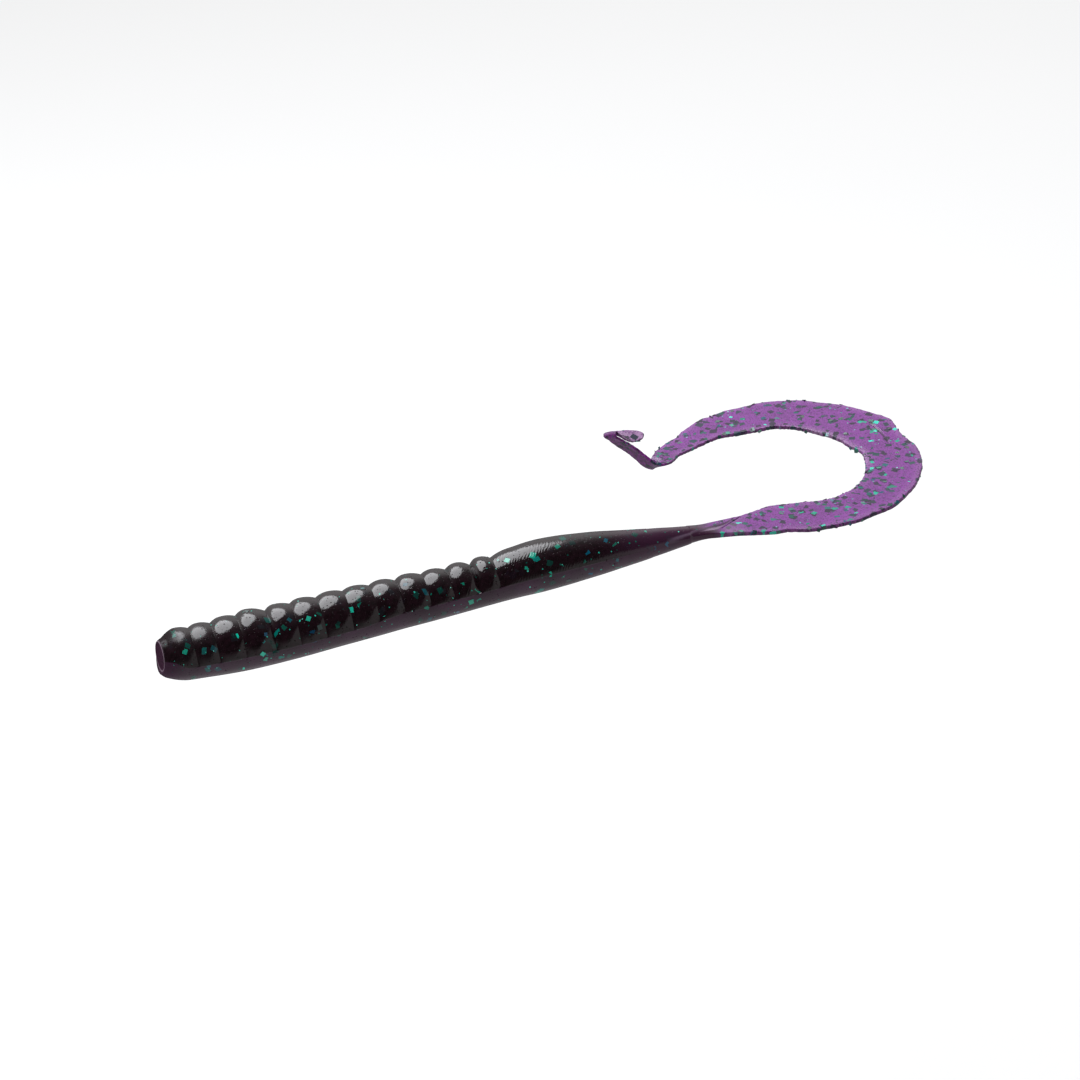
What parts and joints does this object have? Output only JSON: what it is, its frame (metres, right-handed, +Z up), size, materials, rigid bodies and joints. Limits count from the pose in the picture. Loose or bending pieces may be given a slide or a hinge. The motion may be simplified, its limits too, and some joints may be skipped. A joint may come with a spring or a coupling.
{
  "type": "soft plastic worm",
  "caption": "Ringed soft plastic fishing worm with a smooth tapering rear and a flat curly ribbon tail, dark with glitter flakes.",
  "frame": {"origin": "centre of the flat sprue dish in the nose, on the body's centreline", "axes": "+X along the body from nose to tail, +Y across the body towards the inside of the tail's curl, +Z up with the worm lying on its belly"},
  "size_m": [0.1511, 0.0534, 0.0132],
  "materials": {
    "worm_body": "glossy soft plastisol, near black, with embedded emerald glitter",
    "worm_taper": "glossy soft plastisol, dark purple where it thins, with embedded emerald glitter",
    "worm_ribbon": "translucent purple plastisol sheet with dark specks and embedded emerald glitter"
  },
  "bodies": {
    "ring_01_nose": {"ring_01_nose": "worm_body"},
    "ring_02": {"ring_02": "worm_body"},
    "ring_03": {"ring_03": "worm_body"},
    "ring_04": {"ring_04": "worm_body"},
    "ring_05": {"ring_05": "worm_body"},
    "ring_06": {"ring_06": "worm_body"},
    "ring_07": {"ring_07": "worm_body"},
    "ring_08": {"ring_08": "worm_body"},
    "ring_09": {"ring_09": "worm_body"},
    "ring_10": {"ring_10": "worm_body"},
    "ring_11": {"ring_11": "worm_body"},
    "ring_12": {"ring_12": "worm_body"},
    "ring_13": {"ring_13": "worm_body"},
    "collar": {"collar": "worm_taper"},
    "waist": {"waist": "worm_taper"},
    "taper_1": {"taper_1": "worm_taper"},
    "taper_2": {"taper_2": "worm_taper"},
    "taper_3": {"taper_3": "worm_taper"},
    "tail_root": {"tail_root": "worm_taper"},
    "ribbon_01": {"ribbon_01": "worm_ribbon"},
    "ribbon_02": {"ribbon_02": "worm_ribbon"},
    "ribbon_03": {"ribbon_03": "worm_ribbon"},
    "ribbon_04": {"ribbon_04": "worm_ribbon"},
    "ribbon_05": {"ribbon_05": "worm_ribbon"},
    "ribbon_06": {"ribbon_06": "worm_ribbon"},
    "ribbon_07": {"ribbon_07": "worm_ribbon"},
    "ribbon_08": {"ribbon_08": "worm_ribbon"},
    "ribbon_09": {"ribbon_09": "worm_ribbon"},
    "ribbon_10": {"ribbon_10": "worm_ribbon"},
    "ribbon_11": {"ribbon_11": "worm_ribbon"},
    "ribbon_12": {"ribbon_12": "worm_ribbon"},
    "ribbon_13": {"ribbon_13": "worm_ribbon"},
    "ribbon_14": {"ribbon_14": "worm_ribbon"},
    "ribbon_15": {"ribbon_15": "worm_ribbon"},
    "ribbon_16": {"ribbon_16": "worm_ribbon"},
    "ribbon_17": {"ribbon_17": "worm_ribbon"},
    "tip_bend": {"tip_bend": "worm_ribbon"},
    "tip_strip": {"tip_strip": "worm_ribbon"},
    "tip_curl": {"tip_curl": "worm_ribbon"},
    "tip_flap": {"tip_flap": "worm_ribbon"}
  },
  "joints": [
    {"name": "head_sway_at_ring_01_nose", "type": "hinge", "parent": "ring_02", "child": "ring_01_nose", "pos_m": [0.00579, 0, -0.00075], "axis": [0, 0, -1], "range_deg": [-10, 10]},
    {"name": "head_lift_at_ring_02", "type": "hinge", "parent": "ring_03", "child": "ring_02", "pos_m": [0.00973, 0, -0.00095], "axis": [0, 1, 0], "range_deg": [-10, 10]},
    {"name": "head_sway_at_ring_03", "type": "hinge", "parent": "ring_04", "child": "ring_03", "pos_m": [0.01441, 0, -0.00103], "axis": [0, 0, -1], "range_deg": [-10, 10]},
    {"name": "head_lift_at_ring_04", "type": "hinge", "parent": "ring_05", "child": "ring_04", "pos_m": [0.01976, 0, -0.0011], "axis": [0, 1, 0], "range_deg": [-10, 10]},
    {"name": "head_sway_at_ring_05", "type": "hinge", "parent": "ring_06", "child": "ring_05", "pos_m": [0.02432, 0, -0.00112], "axis": [0, 0, -1], "range_deg": [-10, 10]},
    {"name": "head_lift", "type": "hinge", "parent": "ring_07", "child": "ring_06", "pos_m": [0.02907, 0, -0.00102], "axis": [0, 1, 0], "range_deg": [-10, 10]},
    {"name": "head_sway", "type": "hinge", "parent": "ring_08", "child": "ring_07", "pos_m": [0.03401, 0, -0.00093], "axis": [0, 0, -1], "range_deg": [-10, 10]},
    {"name": "rear_sway", "type": "hinge", "parent": "ring_08", "child": "ring_09", "pos_m": [0.03887, 0, -0.00087], "axis": [0, 0, 1], "range_deg": [-10, 10]},
    {"name": "rear_lift", "type": "hinge", "parent": "ring_09", "child": "ring_10", "pos_m": [0.04365, 0, -0.00082], "axis": [0, -1, 0], "range_deg": [-10, 10]},
    {"name": "rear_sway_at_ring_11", "type": "hinge", "parent": "ring_10", "child": "ring_11", "pos_m": [0.04851, 0, -0.00084], "axis": [0, 0, 1], "range_deg": [-10, 10]},
    {"name": "rear_lift_at_ring_12", "type": "hinge", "parent": "ring_11", "child": "ring_12", "pos_m": [0.05298, 0, -0.0008], "axis": [0, -1, 0], "range_deg": [-10, 10]},
    {"name": "rear_sway_at_ring_13", "type": "hinge", "parent": "ring_12", "child": "ring_13", "pos_m": [0.05758, 0, -0.00071], "axis": [0, 0, 1], "range_deg": [-10, 10]},
    {"name": "rear_lift_at_collar", "type": "hinge", "parent": "ring_13", "child": "collar", "pos_m": [0.06147, 0, -0.00059], "axis": [0, -1, 0], "range_deg": [-10, 10]},
    {"name": "rear_sway_at_waist", "type": "hinge", "parent": "collar", "child": "waist", "pos_m": [0.0695, 0, -0.00024], "axis": [0, 0, 1], "range_deg": [-10, 10]},
    {"name": "rear_lift_at_taper_1", "type": "hinge", "parent": "waist", "child": "taper_1", "pos_m": [0.077, 0, -0.00032], "axis": [0, -1, 0], "range_deg": [-10, 10]},
    {"name": "rear_sway_at_taper_2", "type": "hinge", "parent": "taper_1", "child": "taper_2", "pos_m": [0.084, 0, -0.00059], "axis": [0, 0, 1], "range_deg": [-10, 10]},
    {"name": "rear_lift_at_taper_3", "type": "hinge", "parent": "taper_2", "child": "taper_3", "pos_m": [0.091, 0, -0.00094], "axis": [0, -1, 0], "range_deg": [-10, 10]},
    {"name": "rear_lift_at_tail_root", "type": "hinge", "parent": "taper_3", "child": "tail_root", "pos_m": [0.0975, 0, -0.00121], "axis": [0, -1, 0], "range_deg": [-10, 10]},
    {"name": "tail_lift", "type": "hinge", "parent": "tail_root", "child": "ribbon_01", "pos_m": [0.10499, 0.00095, -0.00203], "axis": [0.0867, -0.9819, -0.1685], "range_deg": [-12, 12]},
    {"name": "tail_lift_at_ribbon_02", "type": "hinge", "parent": "ribbon_01", "child": "ribbon_02", "pos_m": [0.11139, 0.00151, -0.00294], "axis": [0.0631, -0.9873, -0.1456], "range_deg": [-12, 12]},
    {"name": "tail_open", "type": "hinge", "parent": "ribbon_02", "child": "ribbon_03", "pos_m": [0.11782, 0.00208, -0.00356], "axis": [-0.0779, 0.1288, -0.9886], "range_deg": [-3, 12]},
    {"name": "tail_lift_at_ribbon_04", "type": "hinge", "parent": "ribbon_03", "child": "ribbon_04", "pos_m": [0.12423, 0.00109, -0.00404], "axis": [-0.113, -0.9875, -0.1103], "range_deg": [-12, 12]},
    {"name": "tail_open_at_ribbon_05", "type": "hinge", "parent": "ribbon_04", "child": "ribbon_05", "pos_m": [0.1307, 0.00128, -0.0042], "axis": [-0.0155, 0.1042, -0.9944], "range_deg": [-3, 12]},
    {"name": "tail_lift_at_ribbon_06", "type": "hinge", "parent": "ribbon_05", "child": "ribbon_06", "pos_m": [0.13667, 0.00371, -0.00402], "axis": [0.5505, -0.8301, -0.0889], "range_deg": [-12, 12]},
    {"name": "tail_open_at_ribbon_07", "type": "hinge", "parent": "ribbon_06", "child": "ribbon_07", "pos_m": [0.14133, 0.00818, -0.00359], "axis": [-0.0027, 0.1022, -0.9948], "range_deg": [-3, 12]},
    {"name": "tail_wave", "type": "hinge", "parent": "ribbon_07", "child": "ribbon_08", "pos_m": [0.14432, 0.01388, -0.003], "axis": [0.949, -0.3135, -0.0324], "range_deg": [-10, 10]},
    {"name": "tail_open_at_ribbon_09", "type": "hinge", "parent": "ribbon_08", "child": "ribbon_09", "pos_m": [0.14529, 0.02024, -0.00231], "axis": [0.0013, 0.1067, -0.9943], "range_deg": [-3, 12]},
    {"name": "tail_wave_at_ribbon_10", "type": "hinge", "parent": "ribbon_09", "child": "ribbon_10", "pos_m": [0.14447, 0.02665, -0.00162], "axis": [0.9709, 0.2381, 0.0249], "range_deg": [-10, 10]},
    {"name": "tail_open_at_ribbon_11", "type": "hinge", "parent": "ribbon_10", "child": "ribbon_11", "pos_m": [0.14191, 0.03255, -0.00096], "axis": [-0.0039, 0.1113, -0.9938], "range_deg": [-3, 12]},
    {"name": "tail_wave_at_ribbon_12", "type": "hinge", "parent": "ribbon_11", "child": "ribbon_12", "pos_m": [0.13779, 0.03751, -0.00041], "axis": [0.6859, 0.7237, 0.0757], "range_deg": [-10, 10]},
    {"name": "tail_open_at_ribbon_13", "type": "hinge", "parent": "ribbon_12", "child": "ribbon_13", "pos_m": [0.13241, 0.04109, -0.00002], "axis": [-0.0008, 0.1046, -0.9945], "range_deg": [-3, 12]},
    {"name": "tail_wave_at_ribbon_14", "type": "hinge", "parent": "ribbon_13", "child": "ribbon_14", "pos_m": [0.12611, 0.04258, 0.00012], "axis": [0.1015, 0.9896, 0.102], "range_deg": [-10, 10]},
    {"name": "tail_open_at_ribbon_15", "type": "hinge", "parent": "ribbon_14", "child": "ribbon_15", "pos_m": [0.11963, 0.04259, 0.00005], "axis": [0.012, 0.1028, -0.9946], "range_deg": [-3, 12]},
    {"name": "tail_wave_at_ribbon_16", "type": "hinge", "parent": "ribbon_15", "child": "ribbon_16", "pos_m": [0.11394, 0.04081, -0.00017], "axis": [-0.4749, 0.875, 0.0945], "range_deg": [-10, 10]},
    {"name": "tail_wave_at_ribbon_17", "type": "hinge", "parent": "ribbon_16", "child": "ribbon_17", "pos_m": [0.10957, 0.03839, -0.00035], "axis": [-0.4935, 0.863, 0.1085], "range_deg": [-10, 10]},
    {"name": "tip_open_at_tip_bend", "type": "hinge", "parent": "ribbon_17", "child": "tip_bend", "pos_m": [0.10615, 0.03587, -0.00038], "axis": [0.7895, -0.6003, -0.1281], "range_deg": [-6, 24]},
    {"name": "tip_open_at_tip_strip", "type": "hinge", "parent": "tip_bend", "child": "tip_strip", "pos_m": [0.10184, 0.03355, -0.00014], "axis": [0.0697, -0.7731, 0.6304], "range_deg": [-6, 24]},
    {"name": "tip_open_at_tip_curl", "type": "hinge", "parent": "tip_strip", "child": "tip_curl", "pos_m": [0.09757, 0.03547, 0.00418], "axis": [0.2001, -0.8327, 0.5163], "range_deg": [-6, 24]},
    {"name": "tip_open_at_tip_flap", "type": "hinge", "parent": "tip_curl", "child": "tip_flap", "pos_m": [0.09691, 0.03677, 0.00601], "axis": [0.2992, -0.9523, 0.0601], "range_deg": [-6, 24]}
  ],
  "couplings": [
    {"joint": "head_sway_at_ring_01_nose", "follows": "head_sway", "ratio": 1},
    {"joint": "head_lift_at_ring_02", "follows": "head_lift", "ratio": 1},
    {"joint": "head_sway_at_ring_03", "follows": "head_sway", "ratio": 1},
    {"joint": "head_lift_at_ring_04", "follows": "head_lift", "ratio": 1},
    {"joint": "head_sway_at_ring_05", "follows": "head_sway", "ratio": 1},
    {"joint": "rear_sway_at_ring_11", "follows": "rear_sway", "ratio": 1},
    {"joint": "rear_lift_at_ring_12", "follows": "rear_lift", "ratio": 1},
    {"joint": "rear_sway_at_ring_13", "follows": "rear_sway", "ratio": 1},
    {"joint": "rear_lift_at_collar", "follows": "rear_lift", "ratio": 1},
    {"joint": "rear_sway_at_waist", "follows": "rear_sway", "ratio": 1},
    {"joint": "rear_lift_at_taper_1", "follows": "rear_lift", "ratio": 1},
    {"joint": "rear_sway_at_taper_2", "follows": "rear_sway", "ratio": 1},
    {"joint": "rear_lift_at_taper_3", "follows": "rear_lift", "ratio": 1},
    {"joint": "rear_lift_at_tail_root", "follows": "rear_lift", "ratio": 1},
    {"joint": "tail_lift_at_ribbon_02", "follows": "tail_lift", "ratio": 1},
    {"joint": "tail_lift_at_ribbon_04", "follows": "tail_lift", "ratio": 1},
    {"joint": "tail_open_at_ribbon_05", "follows": "tail_open", "ratio": 1},
    {"joint": "tail_lift_at_ribbon_06", "follows": "tail_lift", "ratio": 1},
    {"joint": "tail_open_at_ribbon_07", "follows": "tail_open", "ratio": 1},
    {"joint": "tail_open_at_ribbon_09", "follows": "tail_open", "ratio": 1},
    {"joint": "tail_wave_at_ribbon_10", "follows": "tail_wave", "ratio": 1},
    {"joint": "tail_open_at_ribbon_11", "follows": "tail_open", "ratio": 1},
    {"joint": "tail_wave_at_ribbon_12", "follows": "tail_wave", "ratio": 1},
    {"joint": "tail_open_at_ribbon_13", "follows": "tail_open", "ratio": 1},
    {"joint": "tail_wave_at_ribbon_14", "follows": "tail_wave", "ratio": 1},
    {"joint": "tail_open_at_ribbon_15", "follows": "tail_open", "ratio": 1},
    {"joint": "tail_wave_at_ribbon_16", "follows": "tail_wave", "ratio": 1},
    {"joint": "tail_wave_at_ribbon_17", "follows": "tail_wave", "ratio": 1},
    {"joint": "tip_open_at_tip_bend", "follows": "tail_open", "ratio": 2},
    {"joint": "tip_open_at_tip_strip", "follows": "tail_open", "ratio": 2},
    {"joint": "tip_open_at_tip_curl", "follows": "tail_open", "ratio": 2},
    {"joint": "tip_open_at_tip_flap", "follows": "tail_open", "ratio": 2}
  ]
}
